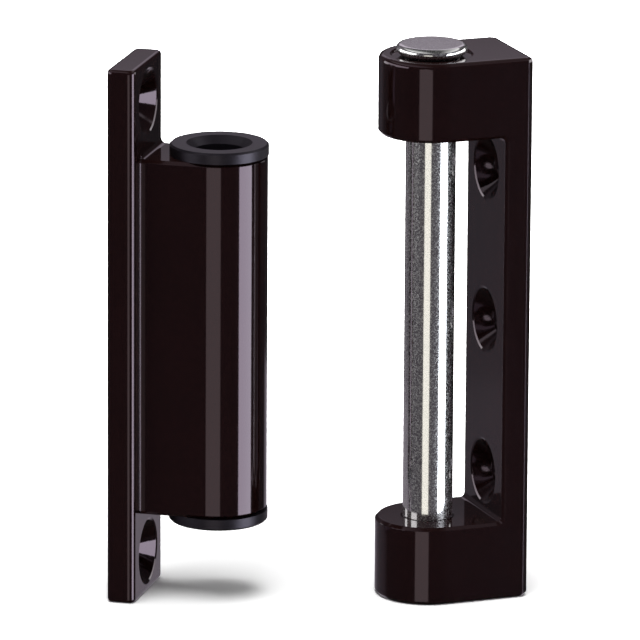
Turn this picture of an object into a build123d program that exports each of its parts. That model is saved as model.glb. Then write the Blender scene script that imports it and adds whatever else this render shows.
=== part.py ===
"""Two-part window hinge: frame leaf with its pin, and sash leaf with its bushes.

Both halves stand apart, the way the hinge is shown before it is hung.
Millimetres, +Z up. The origin is the middle screw hole of the frame leaf, on the
back face that lies against the window frame. X = 0 is that back face, Y = 0 is the
plane through the pin, and Z = 0 is the hinge's mid height.
"""

from build123d import *

import os
from math import cos, radians, sin, sqrt

os.makedirs("parts", exist_ok=True)

# Driving sizes.
# Hinge pin: 8 mm steel rod with a low round head. The head tapers from a narrow seat
# out to a full-round rim; the rim's arc turns from the top face round to the taper.
pin_d = 8.0
pin_tip_chamfer = 0.8
pin_end_gap = 0.6
head_d = 11.3
head_t = 2.05
head_seat_d = 9.4
head_rim_round = 0.85
head_rim_turn = 130.0

# Running clearance between the pin and each round hole that takes it, per side.
pin_clearance = 0.05

# Frame leaf: one casting, D-shaped in plan, with a window for the sash barrel.
knuckle_d = 16.8
knuckle_h = 12.75
window_h = 63.0
pin_to_frame_back = 14.25
frame_plate_t = 4.75
head_recess_d = 12.7
head_recess_depth = 0.4
head_recess_break = 0.25

# Screw holes of both leaves, for 5 mm countersunk screws.
screw_hole_d = 5.3
screw_sink_d = 10.4
screw_sink_angle = 90.0
frame_screw_count = 3
frame_screw_to_knuckle = 6.5
sash_screw_to_end = 6.6
screw_sink_break = 0.2

# Sash leaf: one casting, a plate with a barrel on a D-shaped neck. The plate runs on
# past the barrel at its foot and its head, where its two screws go.
sash_plate_w = 16.6
sash_plate_t = 4.6
pin_to_sash_back = 15.4
pin_to_sash_front_edge = 11.4
barrel_d = 15.5
plate_foot_end = 13.9
plate_head_end = 15.1
neck_back_inset = 0.2
neck_back_blend = 1.5
neck_front_root = 0.3
neck_top_root = 0.8
root_overlap = 0.2

# Bushes: turned from black plastic, one pressed into each end of the barrel.
bush_sleeve_d = 10.4
bush_sleeve_h = 12.0
bush_flange_d = 15.8
bush_flange_t = 1.8
bush_lead_in = 1.2
bush_edge_break = 0.3
bush_seat_clearance = 0.02

# Play along the pin between the hung sash half and the two knuckles.
sash_end_play = 1.2

# Cast edge and corner radii.
edge_round = 0.8
plate_corner_round = 1.05
back_edge_break = 1.0
end_round = 0.6
neck_end_break = 0.5
foot_break = 0.6
window_break = 0.5
root_round = 0.8
hole_break = 0.25

# Where the sash half stands: its barrel axis from the pin axis, and its turn from
# the closed position, in which the two plates are parallel.
sash_offset_x = -31.45
sash_offset_y = 11.5
sash_turn = -35.5

# Worked-out sizes.
frame_leaf_h = window_h + 2 * knuckle_h
foot_z = -frame_leaf_h / 2
top_z = frame_leaf_h / 2
pin_x = -pin_to_frame_back
knuckle_r = knuckle_d / 2
pin_r = pin_d / 2
pin_hole_r = pin_r + pin_clearance
head_seat_z = top_z - head_recess_depth
barrel_r = barrel_d / 2
sash_inner_x = sash_plate_t - pin_to_sash_back
sash_back_edge = sash_plate_w - pin_to_sash_front_edge
sash_plate_mid_y = sash_back_edge - sash_plate_w / 2
neck_back = sash_back_edge - neck_back_inset
barrel_h = window_h - 2 * bush_flange_t - sash_end_play
barrel_top = plate_foot_end + barrel_h
sash_leaf_h = barrel_top + plate_head_end
frame_screw_pitch = (window_h - 2 * frame_screw_to_knuckle) / (frame_screw_count - 1)
sash_screw_span = sash_leaf_h - 2 * sash_screw_to_end
bush_seat_r = bush_sleeve_d / 2 + bush_seat_clearance

# The sash half's own axes: local X from its plate to its barrel, local Y across the
# plate, origin on the barrel axis at the foot of the plate.
sash_plane = Plane(
    origin=(pin_x + sash_offset_x, sash_offset_y, foot_z),
    x_dir=(cos(radians(sash_turn)), sin(radians(sash_turn)), 0),
    z_dir=(0, 0, 1),
)

# Frame leaf.
with BuildPart() as frame_leaf:
    with BuildSketch(Plane.XY.offset(foot_z)):
        with Locations((pin_x, 0)):
            Circle(knuckle_r)
        with Locations((pin_x / 2, 0)):
            Rectangle(pin_to_frame_back, knuckle_d)
    extrude(amount=frame_leaf_h)
    back_corners = frame_leaf.edges().filter_by(Axis.Z).group_by(Axis.X)[-1]
    chamfer(back_corners, length=back_edge_break)
    fillet(frame_leaf.faces().sort_by(Axis.Z)[-1].edges(), radius=edge_round)
    chamfer(frame_leaf.faces().sort_by(Axis.Z)[0].edges(), length=foot_break)

    # Window between the two knuckles, open to the pin's side, rounded at the plate.
    with BuildSketch(Plane.XZ):
        with Locations((-frame_plate_t, 0)):
            Rectangle(knuckle_d + pin_to_frame_back, window_h, align=(Align.MAX, Align.CENTER))
        fillet(vertices().group_by(Axis.X)[-1], radius=root_round)
    extrude(amount=knuckle_d, both=True, mode=Mode.SUBTRACT)
    window_rim = frame_leaf.edges(Select.LAST).filter_by(Axis.Y, reverse=True)
    chamfer(window_rim, length=window_break)

    # Pin hole through both knuckles, with the shallow round seat for the pin's head.
    with Locations((pin_x, 0, top_z)):
        Hole(radius=pin_hole_r)
    bore_rims = (
        frame_leaf.edges()
        .filter_by(GeomType.CIRCLE)
        .filter_by(lambda e: abs(e.radius - pin_hole_r) < 0.001)
        .filter_by(lambda e: abs(abs(e.center().Z) - window_h / 2) < 0.001)
    )
    chamfer(bore_rims, length=hole_break)
    with Locations((pin_x, 0, top_z)):
        CounterBoreHole(
            radius=pin_hole_r,
            counter_bore_radius=head_recess_d / 2,
            counter_bore_depth=head_recess_depth,
        )
    seat_rim = (
        frame_leaf.edges()
        .filter_by(GeomType.CIRCLE)
        .filter_by(lambda e: abs(e.radius - head_recess_d / 2) < 0.001)
        .sort_by(Axis.Z)[-1]
    )
    chamfer(seat_rim, length=head_recess_break)

    # Countersunk screw holes, sunk from the window side of the plate.
    with Locations(Plane(origin=(-frame_plate_t, 0, 0), x_dir=(0, 0, 1), z_dir=(-1, 0, 0))):
        with GridLocations(frame_screw_pitch, 0, frame_screw_count, 1):
            CounterSinkHole(
                radius=screw_hole_d / 2,
                counter_sink_radius=screw_sink_d / 2,
                counter_sink_angle=screw_sink_angle,
            )
    frame_sink_rims = (
        frame_leaf.edges()
        .filter_by(GeomType.CIRCLE)
        .filter_by(lambda e: abs(e.radius - screw_sink_d / 2) < 0.001)
    )
    chamfer(frame_sink_rims, length=screw_sink_break)

frame_leaf.part.label = "frame_leaf"
export_step(frame_leaf.part, "parts/frame_leaf.step")

# Hinge pin.
with BuildPart() as hinge_pin:
    with BuildSketch(Plane.XY.offset(foot_z + pin_end_gap)):
        with Locations((pin_x, 0)):
            Circle(pin_r)
    extrude(amount=head_seat_z - foot_z - pin_end_gap)
    chamfer(hinge_pin.edges().group_by(Axis.Z)[0], length=pin_tip_chamfer)

    # Head: half its outline turned about the pin's axis.
    with BuildSketch(Plane.XZ):
        with BuildLine():
            head_top = (pin_x, head_seat_z + head_t)
            face = Line(head_top, (pin_x + head_d / 2 - head_rim_round, head_seat_z + head_t))
            rim = JernArc(face @ 1, (1, 0), head_rim_round, -head_rim_turn)
            Polyline(rim @ 1, (pin_x + head_seat_d / 2, head_seat_z), (pin_x, head_seat_z), head_top)
        make_face()
    revolve(axis=Axis((pin_x, 0, 0), (0, 0, 1)))

hinge_pin.part.label = "hinge_pin"
export_step(hinge_pin.part, "parts/hinge_pin.step")

# Sash leaf.
# Neck and barrel first: one D-shaped outline whose front side runs straight off the
# barrel, with a core that reaches into the plate.
core_x = sash_inner_x - sash_plate_t / 2
with BuildPart() as neck_and_barrel:
    with BuildSketch(sash_plane.offset(plate_foot_end)):
        Circle(barrel_r)
        with Locations((core_x, -barrel_r)):
            Rectangle(-core_x, barrel_r + neck_back, align=(Align.MIN, Align.MIN))
        with Locations((core_x, plate_corner_round - pin_to_sash_front_edge)):
            Rectangle(
                sash_plate_t / 2,
                pin_to_sash_front_edge - plate_corner_round,
                align=(Align.MIN, Align.MIN),
            )
        front_root = vertices().filter_by(
            lambda v: abs(v.X - sash_inner_x) < 0.001 and abs(v.Y + barrel_r) < 0.001
        )
        fillet(front_root, radius=neck_front_root)
        back_root = vertices().filter_by(
            lambda v: abs(v.Y - neck_back) < 0.001 and abs(v.X + sqrt(barrel_r**2 - neck_back**2)) < 0.001
        )
        fillet(back_root, radius=neck_back_blend)
    extrude(amount=barrel_h)
    chamfer(neck_and_barrel.faces().sort_by(Axis.Z)[-1].edges(), length=neck_end_break)
    chamfer(neck_and_barrel.faces().sort_by(Axis.Z)[0].edges(), length=foot_break)

with BuildPart() as sash_leaf:
    with BuildSketch(sash_plane):
        with Locations((-pin_to_sash_back, -pin_to_sash_front_edge)):
            Rectangle(sash_plate_t, sash_plate_w, align=(Align.MIN, Align.MIN))
        fillet(vertices(), radius=plate_corner_round)
    extrude(amount=sash_leaf_h)
    plate_rims = (
        sash_leaf.faces().sort_by(Axis.Z)[-1].edges() + sash_leaf.faces().sort_by(Axis.Z)[0].edges()
    )
    fillet(plate_rims, radius=end_round)
    add(neck_and_barrel.part)

    # Rounded root where the neck's top face runs into the plate.
    root_start = Plane(
        origin=sash_plane.from_local_coords((sash_inner_x, neck_back - neck_end_break, barrel_top)),
        x_dir=sash_plane.x_dir,
        z_dir=-sash_plane.y_dir,
    )
    with BuildSketch(root_start):
        with Locations((-root_overlap, -root_overlap)):
            Rectangle(
                neck_top_root + root_overlap,
                neck_top_root + root_overlap,
                align=(Align.MIN, Align.MIN),
            )
        with Locations((neck_top_root, neck_top_root)):
            Circle(neck_top_root, mode=Mode.SUBTRACT)
    extrude(amount=barrel_r + neck_back - 2 * neck_end_break)

    # Seat for the two bushes, straight through the barrel.
    with Locations(sash_plane.offset(barrel_top)):
        Hole(radius=bush_seat_r)

    # Countersunk screw holes near both ends, sunk from the barrel's side.
    plate_face = Plane(
        origin=sash_plane.from_local_coords((sash_inner_x, sash_plate_mid_y, sash_leaf_h / 2)),
        x_dir=(0, 0, 1),
        z_dir=sash_plane.x_dir,
    )
    with Locations(plate_face):
        with GridLocations(sash_screw_span, 0, 2, 1):
            CounterSinkHole(
                radius=screw_hole_d / 2,
                counter_sink_radius=screw_sink_d / 2,
                counter_sink_angle=screw_sink_angle,
            )
    sash_sink_rims = (
        sash_leaf.edges()
        .filter_by(GeomType.CIRCLE)
        .filter_by(lambda e: abs(e.radius - screw_sink_d / 2) < 0.001)
    )
    chamfer(sash_sink_rims, length=screw_sink_break)

sash_leaf.part.label = "sash_leaf"
export_step(sash_leaf.part, "parts/sash_leaf.step")

# Bushes.
# Upper bush: flange on the barrel's top face, sleeve down into the barrel.
with BuildPart() as upper_bush:
    with BuildSketch(sash_plane.offset(barrel_top)):
        Circle(bush_flange_d / 2)
    extrude(amount=bush_flange_t)
    chamfer(upper_bush.edges().sort_by(Axis.Z)[-1], length=bush_edge_break)
    with BuildSketch(sash_plane.offset(barrel_top - bush_sleeve_h)):
        Circle(bush_sleeve_d / 2)
    extrude(amount=bush_sleeve_h)
    with Locations(sash_plane.offset(barrel_top + bush_flange_t)):
        Hole(radius=pin_hole_r)
    upper_mouth = upper_bush.faces().sort_by(Axis.Z)[-1].edges().sort_by(SortBy.RADIUS)[0]
    chamfer(upper_mouth, length=bush_lead_in)

upper_bush.part.label = "upper_bush"
export_step(upper_bush.part, "parts/upper_bush.step")

# Lower bush: the same bush turned over, at the barrel's foot.
with BuildPart() as lower_bush:
    add(upper_bush.part.mirror(sash_plane.offset(plate_foot_end + barrel_h / 2)))

lower_bush.part.label = "lower_bush"
export_step(lower_bush.part, "parts/lower_bush.step")
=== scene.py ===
"""Looks of a two-part window hinge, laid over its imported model.

The frame half stands on the right with its pin, and the sash half on the left with
its two bushes. Everything is in metres, in the frame of the model: the origin is the
middle screw hole of the frame leaf, on its back face, and +Z is up.
"""

import logging
from dataclasses import dataclass
from enum import Enum
from math import cos, pi, radians, sin

import bpy
from mathutils import Matrix, Vector


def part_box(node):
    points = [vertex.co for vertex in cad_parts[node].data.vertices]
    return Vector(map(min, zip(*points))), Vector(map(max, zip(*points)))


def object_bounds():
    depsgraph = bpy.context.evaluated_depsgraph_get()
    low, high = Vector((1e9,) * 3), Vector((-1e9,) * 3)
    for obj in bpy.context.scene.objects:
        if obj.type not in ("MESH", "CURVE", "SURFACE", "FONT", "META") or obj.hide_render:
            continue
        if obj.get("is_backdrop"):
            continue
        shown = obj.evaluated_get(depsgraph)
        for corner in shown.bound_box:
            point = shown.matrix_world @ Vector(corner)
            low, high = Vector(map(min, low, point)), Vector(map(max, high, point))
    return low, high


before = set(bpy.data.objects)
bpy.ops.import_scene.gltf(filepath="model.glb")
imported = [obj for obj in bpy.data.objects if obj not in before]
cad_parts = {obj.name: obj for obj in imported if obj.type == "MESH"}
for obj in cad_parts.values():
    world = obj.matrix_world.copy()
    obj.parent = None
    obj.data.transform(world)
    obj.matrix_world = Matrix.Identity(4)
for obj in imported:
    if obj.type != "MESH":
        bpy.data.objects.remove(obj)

LOG = logging.getLogger("window_hinge")
MM = 0.001
HALF_TURN = 180.0
WHITE = "#FFFFFF"


class Seen(Enum):
    """What a lamp does to the object."""

    IN_GLOSS = "mirrored in gloss, and lights nothing"
    AS_LIGHT = "lights matt surfaces and casts the shadow, and is mirrored nowhere"


def linear(hex_colour: str) -> tuple[float, float, float, float]:
    """Turn an sRGB hex colour into linear light, by the curve of the sRGB standard.

    Args:
        hex_colour: Six hex digits after a hash sign.

    Returns:
        Red, green, blue and an alpha of 1.
    """
    parts = [int(hex_colour[i:i + 2], 16) / 255 for i in (1, 3, 5)]
    light = [c / 12.92 if c <= 0.04045 else ((c + 0.055) / 1.055) ** 2.4 for c in parts]
    return (*light, 1.0)


def cycles_per_metre(size_mm: float) -> float:
    """Noise scale at which one blot of a pattern is size_mm wide."""
    return 1.0 / (size_mm * MM)


def add_node(tree: bpy.types.NodeTree, kind: str, settings: dict | None = None,
             **links: object) -> bpy.types.Node:
    """Add one shader node with its settings and links.

    Args:
        tree: Node tree that the node goes into.
        kind: Blender's name of the node type.
        settings: Attributes of the node, by name.
        **links: Inputs, by name with spaces written as underscores, or by number as
            in0, in1. An output socket is linked, and any other value is set.

    Returns:
        The new node.
    """
    node = tree.nodes.new(kind)
    for name, value in (settings or {}).items():
        setattr(node, name, value)
    for name, value in links.items():
        number = name[2:]
        numbered = name.startswith("in") and number.isdigit()
        key = int(number) if numbered else name.replace("_", " ")
        if isinstance(value, bpy.types.NodeSocket):
            tree.links.new(value, node.inputs[key])
        else:
            node.inputs[key].default_value = value
    return node


def set_ramp(node: bpy.types.Node, stops: list[tuple[float, float]]) -> None:
    """Give a colour ramp its grey stops.

    Args:
        node: Colour ramp node.
        stops: Place and grey value of each stop, from left to right.
    """
    ramp = node.color_ramp
    anywhere = 0.5
    while len(ramp.elements) < len(stops):
        ramp.elements.new(anywhere)
    for element, (place, grey) in zip(ramp.elements, stops):
        element.position = place
        element.color = (grey, grey, grey, 1.0)


def new_material(name: str) -> tuple[bpy.types.Material, bpy.types.NodeTree]:
    """Make an empty node material.

    Args:
        name: Name of the material.

    Returns:
        The material and its node tree.
    """
    material = bpy.data.materials.new(name)
    material.use_nodes = True
    material.node_tree.nodes.clear()
    return material, material.node_tree


def close_material(tree: bpy.types.NodeTree, shader: bpy.types.NodeSocket) -> None:
    """Link a shader to the material's surface."""
    add_node(tree, "ShaderNodeOutputMaterial", Surface=shader)


@dataclass(frozen=True)
class StoveLacquer:
    """Stove lacquer, dark brown, sprayed and baked on zinc die castings.

    It flows out to a hard gloss, so the eye sees crisp lamp strips on near-black, with
    a faint orange peel that only just ripples their edges.
    """

    colour: str = "#190C0B"
    thin_colour: str = "#200F0E"
    tone_patch_mm: float = 9.0
    roughness: float = 0.06
    roughness_spread: float = 0.03
    haze_patch_mm: float = 4.0
    ior: float = 1.5
    # The real lacquer's lamp strips lean a little to violet.
    gloss_tint: str = "#FFE5F7"
    peel_mm: float = 1.6
    peel_depth_mm: float = 0.0003
    # Specks of dust that were baked in.
    nib_mm: float = 0.35
    nib_depth_mm: float = 0.0002
    # The lacquer pools over the narrow chamfers of the casting and rounds them off.
    edge_round_mm: float = 0.12
    edge_samples: int = 6

    def material(self) -> bpy.types.Material:
        """Build the node material.

        Returns:
            The material.
        """
        material, tree = new_material("stove_lacquer_baked_gloss")
        place = add_node(tree, "ShaderNodeTexCoord").outputs["Object"]
        tone = add_node(tree, "ShaderNodeTexNoise", Vector=place, Detail=2.0,
                        Scale=cycles_per_metre(self.tone_patch_mm))
        colour = add_node(tree, "ShaderNodeMix", {"data_type": "RGBA"},
                          Factor=tone.outputs["Fac"], in6=linear(self.colour),
                          in7=linear(self.thin_colour))
        haze = add_node(tree, "ShaderNodeTexNoise", Vector=place, Detail=3.0,
                        Scale=cycles_per_metre(self.haze_patch_mm))
        rough = add_node(tree, "ShaderNodeMapRange", Value=haze.outputs["Fac"],
                         in3=self.roughness, in4=self.roughness + self.roughness_spread)
        peel = add_node(tree, "ShaderNodeTexNoise", Vector=place, Detail=1.0,
                        Scale=cycles_per_metre(self.peel_mm))
        nibs = add_node(tree, "ShaderNodeTexNoise", Vector=place, Detail=2.0,
                        Scale=cycles_per_metre(self.nib_mm))
        rounded = add_node(tree, "ShaderNodeBevel", {"samples": self.edge_samples},
                           Radius=self.edge_round_mm * MM)
        low = add_node(tree, "ShaderNodeBump", Strength=1.0,
                       Distance=self.peel_depth_mm * MM, Height=peel.outputs["Fac"],
                       Normal=rounded.outputs[0])
        high = add_node(tree, "ShaderNodeBump", Strength=1.0,
                        Distance=self.nib_depth_mm * MM, Height=nibs.outputs["Fac"],
                        Normal=low.outputs["Normal"])
        shader = add_node(tree, "ShaderNodeBsdfPrincipled", IOR=self.ior,
                          Base_Color=colour.outputs[2], Roughness=rough.outputs["Result"],
                          Specular_Tint=linear(self.gloss_tint),
                          Normal=high.outputs["Normal"])
        close_material(tree, shader.outputs["BSDF"])
        return material


@dataclass(frozen=True)
class BrightZinc:
    """Bright zinc plating on drawn and ground steel rod.

    The plating is nearly a mirror, but its fine crystals scatter a salt-and-pepper
    sparkle over the darker reflections.
    """

    colour: str = "#F1F1EF"
    shade_colour: str = "#DFDEDF"
    # Real crystals are some 0.03 mm wide, too fine to show in the render, so they are
    # drawn as coarse as they need to show.
    crystal_mm: float = 0.3
    crystal_depth_mm: float = 0.0012
    crystal_broken: float = 0.7
    # Pattern values between which the colour, and the roughness, go from end to end.
    full_reach: tuple[float, float] = (0.3, 0.7)
    # The same for the frost, which lies on the higher crystals alone.
    frost_reach: tuple[float, float] = (0.42, 0.68)
    frost: float = 0.47
    frost_roughness: float = 0.42
    bloom_mm: float = 2.6
    roughness: float = 0.08
    roughness_spread: float = 0.04

    def material(self) -> bpy.types.Material:
        """Build the node material.

        Returns:
            The material.
        """
        material, tree = new_material("steel_rod_bright_zinc_plated")
        place = add_node(tree, "ShaderNodeTexCoord").outputs["Object"]
        crystal = add_node(tree, "ShaderNodeTexNoise", Vector=place, Detail=3.0,
                           Roughness=self.crystal_broken,
                           Scale=cycles_per_metre(self.crystal_mm))
        grain = add_node(tree, "ShaderNodeMapRange", Value=crystal.outputs["Fac"],
                         in1=self.full_reach[0], in2=self.full_reach[1])
        bloom = add_node(tree, "ShaderNodeTexNoise", Vector=place, Detail=3.0,
                         Scale=cycles_per_metre(self.bloom_mm))
        colour = add_node(tree, "ShaderNodeMix", {"data_type": "RGBA"},
                          Factor=grain.outputs["Result"], in6=linear(self.shade_colour),
                          in7=linear(self.colour))
        rough = add_node(tree, "ShaderNodeMapRange", Value=bloom.outputs["Fac"],
                         in1=self.full_reach[0], in2=self.full_reach[1],
                         in3=self.roughness, in4=self.roughness + self.roughness_spread)
        frost = add_node(tree, "ShaderNodeMapRange", Value=crystal.outputs["Fac"],
                         in1=self.frost_reach[0], in2=self.frost_reach[1],
                         in3=0.0, in4=self.frost)
        bump = add_node(tree, "ShaderNodeBump", Strength=1.0,
                        Distance=self.crystal_depth_mm * MM, Height=crystal.outputs["Fac"])
        clear = add_node(tree, "ShaderNodeBsdfPrincipled", Metallic=1.0,
                         Base_Color=colour.outputs[2], Roughness=rough.outputs["Result"],
                         Normal=bump.outputs["Normal"])
        frosted = add_node(tree, "ShaderNodeBsdfPrincipled", Metallic=1.0,
                           Base_Color=colour.outputs[2], Roughness=self.frost_roughness,
                           Normal=bump.outputs["Normal"])
        both = add_node(tree, "ShaderNodeMixShader", Fac=frost.outputs["Result"],
                        in1=clear.outputs["BSDF"], in2=frosted.outputs["BSDF"])
        close_material(tree, both.outputs[0])
        return material


@dataclass(frozen=True)
class TurnedPlastic:
    """Black acetal, turned to a fine matt face.

    The tool leaves a fine grain on the flange, so lamps show only as a soft grey sheen.
    """

    colour: str = "#131114"
    worn_colour: str = "#1D1A1F"
    # The real grain is some 0.05 mm wide, too fine to show in the render, so it is
    # drawn as coarse as it needs to show.
    grain_mm: float = 0.3
    grain_depth_mm: float = 0.009
    roughness: float = 0.38
    gloss: float = 0.42
    gloss_tint: str = "#F4E8FF"
    ior: float = 1.48

    def material(self) -> bpy.types.Material:
        """Build the node material.

        Returns:
            The material.
        """
        material, tree = new_material("acetal_turned_matt")
        place = add_node(tree, "ShaderNodeTexCoord").outputs["Object"]
        grain = add_node(tree, "ShaderNodeTexNoise", Vector=place, Detail=3.0,
                         Scale=cycles_per_metre(self.grain_mm))
        colour = add_node(tree, "ShaderNodeMix", {"data_type": "RGBA"},
                          Factor=grain.outputs["Fac"], in6=linear(self.colour),
                          in7=linear(self.worn_colour))
        bump = add_node(tree, "ShaderNodeBump", Strength=1.0,
                        Distance=self.grain_depth_mm * MM, Height=grain.outputs["Fac"])
        shader = add_node(tree, "ShaderNodeBsdfPrincipled", IOR=self.ior,
                          Base_Color=colour.outputs[2], Roughness=self.roughness,
                          Specular_IOR_Level=self.gloss,
                          Specular_Tint=linear(self.gloss_tint),
                          Normal=bump.outputs["Normal"])
        close_material(tree, shader.outputs["BSDF"])
        return material


@dataclass(frozen=True)
class PaleFloor:
    """Off-white studio floor: plain and matt, and it keeps the shadow of the object.

    The camera sees it brighter than it is lit, and more so away from the feet, so that
    it clips to white and only the shadow near the feet shows.
    """

    colour: str = "#E6E6E6"
    gain_at_feet: float = 1.55
    gain_around: float = 4.0
    # Metres from the middle between which the gain grows.
    feet_to_around: tuple[float, float] = (0.03, 0.15)

    def material(self, middle: tuple[float, float, float]) -> bpy.types.Material:
        """Build the node material.

        Args:
            middle: Place on the floor midway between the feet of the object.

        Returns:
            The material.
        """
        material, tree = new_material("white_studio_floor")
        rays = add_node(tree, "ShaderNodeLightPath").outputs
        lit = add_node(tree, "ShaderNodeBsdfDiffuse", Color=linear(self.colour))
        place = add_node(tree, "ShaderNodeTexCoord").outputs["Object"]
        away = add_node(tree, "ShaderNodeVectorMath", {"operation": "DISTANCE"}, in0=place,
                        in1=middle).outputs["Value"]
        gain = add_node(tree, "ShaderNodeMapRange", Value=away, in1=self.feet_to_around[0],
                        in2=self.feet_to_around[1], in3=self.gain_at_feet,
                        in4=self.gain_around)
        seen = add_node(tree, "ShaderNodeBsdfDiffuse", Color=gain.outputs["Result"])
        white = add_node(tree, "ShaderNodeEmission", Color=linear(WHITE))
        mirrored = add_node(tree, "ShaderNodeMath", {"operation": "MAXIMUM"},
                            in0=rays["Is Glossy Ray"], in1=rays["Is Transmission Ray"])
        base = add_node(tree, "ShaderNodeMixShader", Fac=rays["Is Camera Ray"],
                        in1=lit.outputs[0], in2=seen.outputs[0])
        both = add_node(tree, "ShaderNodeMixShader", Fac=mirrored.outputs[0],
                        in1=base.outputs[0], in2=white.outputs[0])
        close_material(tree, both.outputs[0])
        return material


@dataclass
class DressedPiece:
    """One piece of the model with its finish."""

    node: str
    finish: bpy.types.Material

    def dress(self) -> None:
        """Give the piece its material."""
        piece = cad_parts[self.node]
        piece.data.materials.clear()
        piece.data.materials.append(self.finish)
        low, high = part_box(self.node)
        size = [round((b - a) / MM, 1) for a, b in zip(low, high)]
        LOG.info("%s: %s, %s mm", self.node, self.finish.name, size)


@dataclass
class FrameHalf:
    """Frame leaf with the pin through its two knuckles."""

    plating: BrightZinc = BrightZinc()

    def build(self, lacquer: bpy.types.Material) -> None:
        """Dress the leaf and its pin.

        Args:
            lacquer: Lacquer that both leaves share.
        """
        DressedPiece("frame_leaf", lacquer).dress()
        DressedPiece("hinge_pin", self.plating.material()).dress()


@dataclass
class SashHalf:
    """Sash leaf with a bush in each end of its barrel."""

    plastic: TurnedPlastic = TurnedPlastic()

    def build(self, lacquer: bpy.types.Material) -> None:
        """Dress the leaf and its bushes.

        Args:
            lacquer: Lacquer that both leaves share.
        """
        DressedPiece("sash_leaf", lacquer).dress()
        black = self.plastic.material()
        for bush in ("upper_bush", "lower_bush"):
            DressedPiece(bush, black).dress()


def heading(azimuth: float, elevation: float) -> Vector:
    """Unit vector from the object towards a place in the studio.

    Args:
        azimuth: Degrees from -Y towards +X.
        elevation: Degrees above the floor's level.

    Returns:
        The direction.
    """
    a, e = radians(azimuth), radians(elevation)
    return Vector((sin(a) * cos(e), -cos(a) * cos(e), sin(e)))


@dataclass(frozen=True)
class SoftBox:
    """Flat soft lamp that faces the object."""

    name: str
    azimuth: float
    elevation: float
    distance: float
    width: float
    height: float
    radiance: float
    colour: str = WHITE
    seen: Seen = Seen.IN_GLOSS
    target: tuple[float, float, float] = (-0.03, 0.0, 0.0)

    def place(self) -> None:
        """Build the lamp and turn it to the object."""
        lamp = bpy.data.lights.new(self.name, "AREA")
        lamp.shape = "RECTANGLE"
        lamp.size, lamp.size_y = self.width, self.height
        # An area lamp's power in watts is four times its radiance times its area.
        lamp.energy = 4.0 * self.radiance * self.width * self.height
        lamp.color = linear(self.colour)[:3]
        thing = bpy.data.objects.new(self.name, lamp)
        bpy.context.scene.collection.objects.link(thing)
        towards = heading(self.azimuth, self.elevation)
        thing.location = Vector(self.target) + towards * self.distance
        thing.rotation_euler = towards.to_track_quat("Z", "Y").to_euler()
        thing.visible_camera = False
        thing.visible_diffuse = self.seen is Seen.AS_LIGHT
        thing.visible_glossy = self.seen is Seen.IN_GLOSS


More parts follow.
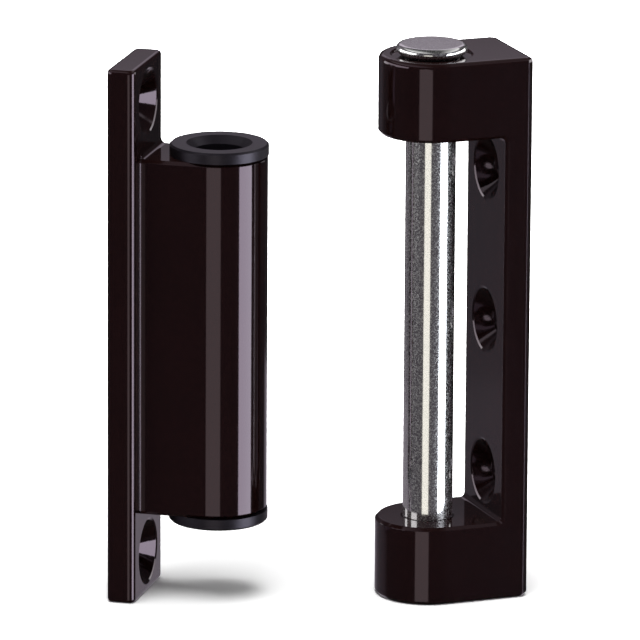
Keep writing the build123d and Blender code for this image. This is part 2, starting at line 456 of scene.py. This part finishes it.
@dataclass
class Surround:
    """Drum of card round, under and over the object, met by reflections alone.

    It is dark where the lacquer shows near-black. Its wall pales behind the object, in
    its upper part and in its skirt, and its lid pales to the left and right.
    """

    radius: float = 0.95
    foot: float = -0.75
    top: float = 0.75
    steps: int = 96
    colour: str = "#FBEFFF"
    # Azimuth and grey, all round the wall.
    round_stops: tuple[tuple[float, float], ...] = (
        (-180.0, 0.06), (-170.0, 0.08), (-159.0, 0.16), (-145.0, 0.065), (-60.0, 0.06),
        (60.0, 0.08), (129.0, 0.035), (180.0, 0.06))
    # Height and grey of the upper part, where it starts to pale and where it is palest.
    dusk: tuple[float, float] = (0.226, 0.04)
    dawn: tuple[float, float] = (0.335, 0.66)
    # How far back the upper part comes in and is full, and how much it leans right.
    upper_reach: tuple[float, float] = (0.92, 0.97)
    upper_lean: float = 0.35
    # The skirt below this height, how far back it comes in and is full, and its greys
    # from the left side to the right side.
    skirt_top: float = -0.266
    skirt_reach: tuple[float, float] = (0.45, 0.60)
    skirt_sides: tuple[float, float] = (-0.3, 0.3)
    skirt_greys: tuple[float, float] = (0.20, 0.50)
    # Greys of the base, and of the lid in its middle and at its sides.
    under: float = 0.03
    over: float = 0.06
    over_sides: float = 1.0
    lid_reach: tuple[float, float] = (0.15, 0.80)

    def place(self) -> None:
        """Build the wall, the base and the lid."""
        wall: list[tuple[float, float, float]] = []
        for i in range(self.steps):
            turn = 2 * pi * i / self.steps
            for z in (self.foot, self.top):
                wall.append((self.radius * sin(turn), -self.radius * cos(turn), z))
        count = len(wall)
        sides = [(k, k + 1, (k + 3) % count, (k + 2) % count) for k in range(0, count, 2)]
        disc = [tuple(range(self.steps))]
        self.card("surround_wall", wall, sides, self.wall_material())
        self.card("surround_base", wall[0::2], disc, self.base_material())
        self.card("surround_lid", wall[1::2], disc, self.lid_material())

    def card(self, name: str, verts: list[tuple[float, float, float]],
             faces: list[tuple[int, ...]], material: bpy.types.Material) -> None:
        """Stand one card that only reflections meet.

        Args:
            name: Name of the card.
            verts: Its corners, in metres.
            faces: Its faces, as numbers of corners.
            material: Its material.
        """
        mesh = bpy.data.meshes.new(name)
        mesh.from_pydata(verts, [], faces)
        mesh.materials.append(material)
        card = bpy.data.objects.new(name, mesh)
        bpy.context.scene.collection.objects.link(card)
        card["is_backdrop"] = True
        card.visible_camera = False
        card.visible_diffuse = False
        card.visible_shadow = False

    def wall_material(self) -> bpy.types.Material:
        """Build the wall's grey, graded round the object and upwards.

        Returns:
            The material.
        """
        material, tree = new_material("graded_studio_card")
        place = add_node(tree, "ShaderNodeTexCoord").outputs["Object"]
        axes = add_node(tree, "ShaderNodeSeparateXYZ", Vector=place).outputs
        front = add_node(tree, "ShaderNodeMath", {"operation": "MULTIPLY"}, in0=axes["Y"],
                         in1=-1.0)
        angle = add_node(tree, "ShaderNodeMath", {"operation": "ARCTAN2"}, in0=axes["X"],
                         in1=front.outputs[0])
        turn = add_node(tree, "ShaderNodeMapRange", Value=angle.outputs[0], in1=-pi, in2=pi)
        low = add_node(tree, "ShaderNodeValToRGB", Fac=turn.outputs["Result"])
        set_ramp(low, [((azimuth + HALF_TURN) / (2 * HALF_TURN), grey)
                       for azimuth, grey in self.round_stops])
        rise = add_node(tree, "ShaderNodeMapRange", Value=axes["Z"], in1=self.dusk[0],
                        in2=self.dawn[0], in3=self.dusk[1], in4=self.dawn[1])
        # Up to the height of dusk the upper part keeps the grey of dusk.
        upper = add_node(tree, "ShaderNodeMath", {"operation": "GREATER_THAN"},
                         in0=axes["Z"], in1=self.dusk[0] / 2)
        lower = add_node(tree, "ShaderNodeMath", {"operation": "LESS_THAN"},
                         in0=axes["Z"], in1=self.skirt_top)
        back = add_node(tree, "ShaderNodeMath", {"operation": "MULTIPLY_ADD"},
                        in0=axes["X"], in1=self.upper_lean, in2=axes["Y"])
        pale = add_node(tree, "ShaderNodeMapRange", Value=axes["X"],
                        in1=self.skirt_sides[0], in2=self.skirt_sides[1],
                        in3=self.skirt_greys[0], in4=self.skirt_greys[1])
        grey = low.outputs["Color"]
        for part, depth, reach, tone in (
                (upper, back.outputs[0], self.upper_reach, rise.outputs["Result"]),
                (lower, axes["Y"], self.skirt_reach, pale.outputs["Result"])):
            near = add_node(tree, "ShaderNodeMapRange", Value=depth, in1=reach[0],
                            in2=reach[1])
            share = add_node(tree, "ShaderNodeMath", {"operation": "MULTIPLY"},
                             in0=part.outputs[0], in1=near.outputs["Result"])
            grey = add_node(tree, "ShaderNodeMix", {"data_type": "FLOAT"},
                            in0=share.outputs[0], in2=grey, in3=tone).outputs[0]
        shader = add_node(tree, "ShaderNodeEmission", Color=linear(self.colour),
                          Strength=grey)
        close_material(tree, shader.outputs[0])
        return material

    def base_material(self) -> bpy.types.Material:
        """Build the base's plain dark grey.

        Returns:
            The material.
        """
        material, tree = new_material("dark_studio_card")
        shader = add_node(tree, "ShaderNodeEmission", Strength=self.under)
        close_material(tree, shader.outputs[0])
        return material

    def lid_material(self) -> bpy.types.Material:
        """Build the lid's grey: dark over the object, paler to the left and right.

        Returns:
            The material.
        """
        material, tree = new_material("paling_studio_card")
        place = add_node(tree, "ShaderNodeTexCoord").outputs["Object"]
        axis = add_node(tree, "ShaderNodeSeparateXYZ", Vector=place).outputs["X"]
        aside = add_node(tree, "ShaderNodeMath", {"operation": "ABSOLUTE"}, in0=axis)
        grey = add_node(tree, "ShaderNodeMapRange", Value=aside.outputs[0],
                        in1=self.lid_reach[0], in2=self.lid_reach[1],
                        in3=self.over, in4=self.over_sides)
        shader = add_node(tree, "ShaderNodeEmission", Strength=grey.outputs["Result"])
        close_material(tree, shader.outputs[0])
        return material


@dataclass
class Studio:
    """Floor, surround, lamps and camera."""

    floor_size: float = 30.0
    ambient: float = 0.28
    camera_place_mm: tuple[float, float, float] = (-494.095, -1217.664, 343.905)
    camera_azimuth: float = -20.747
    camera_elevation: float = 14.700
    camera_roll: float = 0.351
    lens_mm: float = 478.09
    sensor_mm: float = 36.0
    clip: tuple[float, float] = (0.05, 100.0)
    lamps: tuple[SoftBox, ...] = (
        SoftBox("left_panel", azimuth=-32.0, elevation=-14.0, distance=0.90,
                width=0.45, height=0.60, radiance=0.84, colour="#FFFCF0"),
        SoftBox("right_strip", azimuth=45.5, elevation=-6.0, distance=0.90,
                width=0.56, height=0.62, radiance=5.6, colour="#F2F8FF"),
        # The two low ones show in the rim of the pin's head, and the countersinks miss them.
        SoftBox("left_softbox", azimuth=-109.0, elevation=8.0, distance=0.65,
                width=0.98, height=0.33, radiance=2.4),
        SoftBox("right_softbox", azimuth=90.0, elevation=6.0, distance=0.70,
                width=0.65, height=0.30, radiance=2.0),
        # It leans a little to the camera and to the left, so that the shadow of the
        # barrel falls under it and a little to the right.
        SoftBox("overhead", azimuth=-50.0, elevation=83.0, distance=0.90,
                width=0.60, height=0.80, radiance=4.1, seen=Seen.AS_LIGHT))

    def place(self) -> None:
        """Build all of it."""
        self.floor()
        self.world()
        Surround().place()
        for lamp in self.lamps:
            lamp.place()
        self.camera()

    def floor(self) -> None:
        """Lay the floor under the two feet."""
        half = self.floor_size / 2
        z = min(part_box(name)[0].z for name in ("frame_leaf", "sash_leaf"))
        mesh = bpy.data.meshes.new("studio_floor")
        corners = [(-half, -half, z), (half, -half, z), (half, half, z), (-half, half, z)]
        mesh.from_pydata(corners, [], [(0, 1, 2, 3)])
        low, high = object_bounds()
        middle = ((low[0] + high[0]) / 2, (low[1] + high[1]) / 2, z)
        mesh.materials.append(PaleFloor().material(middle))
        floor = bpy.data.objects.new("studio_floor", mesh)
        bpy.context.scene.collection.objects.link(floor)
        floor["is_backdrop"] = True
        floor.visible_glossy = False
        floor.visible_shadow = False

    def world(self) -> None:
        """White behind the object, and an even fill light."""
        world = bpy.data.worlds.new("studio_world")
        bpy.context.scene.world = world
        world.use_nodes = True
        tree = world.node_tree
        tree.nodes.clear()
        rays = add_node(tree, "ShaderNodeLightPath").outputs
        seen = add_node(tree, "ShaderNodeMath", {"operation": "MAXIMUM"},
                        in0=rays["Is Camera Ray"], in1=rays["Is Glossy Ray"])
        shown = add_node(tree, "ShaderNodeMath", {"operation": "MAXIMUM"},
                         in0=seen.outputs[0], in1=rays["Is Transmission Ray"])
        level = add_node(tree, "ShaderNodeMapRange", Value=shown.outputs[0],
                         in3=self.ambient, in4=1.0)
        back = add_node(tree, "ShaderNodeBackground", Strength=level.outputs["Result"])
        add_node(tree, "ShaderNodeOutputWorld", Surface=back.outputs[0])

    def camera(self) -> None:
        """Stand the camera where the photograph was taken."""
        data = bpy.data.cameras.new("photo_camera")
        data.lens = self.lens_mm
        data.sensor_width = data.sensor_height = self.sensor_mm
        data.clip_start, data.clip_end = self.clip
        camera = bpy.data.objects.new("photo_camera", data)
        bpy.context.scene.collection.objects.link(camera)
        back = heading(self.camera_azimuth, self.camera_elevation)
        a = radians(self.camera_azimuth)
        right = Vector((cos(a), sin(a), 0.0))
        up = back.cross(right)
        r = radians(self.camera_roll)
        right, up = right * cos(r) + up * sin(r), up * cos(r) - right * sin(r)
        turn = Matrix((right, up, back)).transposed().to_4x4()
        camera.matrix_world = Matrix.Translation(Vector(self.camera_place_mm) * MM) @ turn
        bpy.context.scene.camera = camera


def main() -> None:
    """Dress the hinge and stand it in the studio."""
    logging.basicConfig(level=logging.INFO, format="%(name)s %(message)s")
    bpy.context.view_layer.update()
    bpy.context.scene.view_settings.view_transform = "Standard"
    lacquer = StoveLacquer().material()
    FrameHalf().build(lacquer)
    SashHalf().build(lacquer)
    Studio().place()


if __name__ == "__main__":
    main()
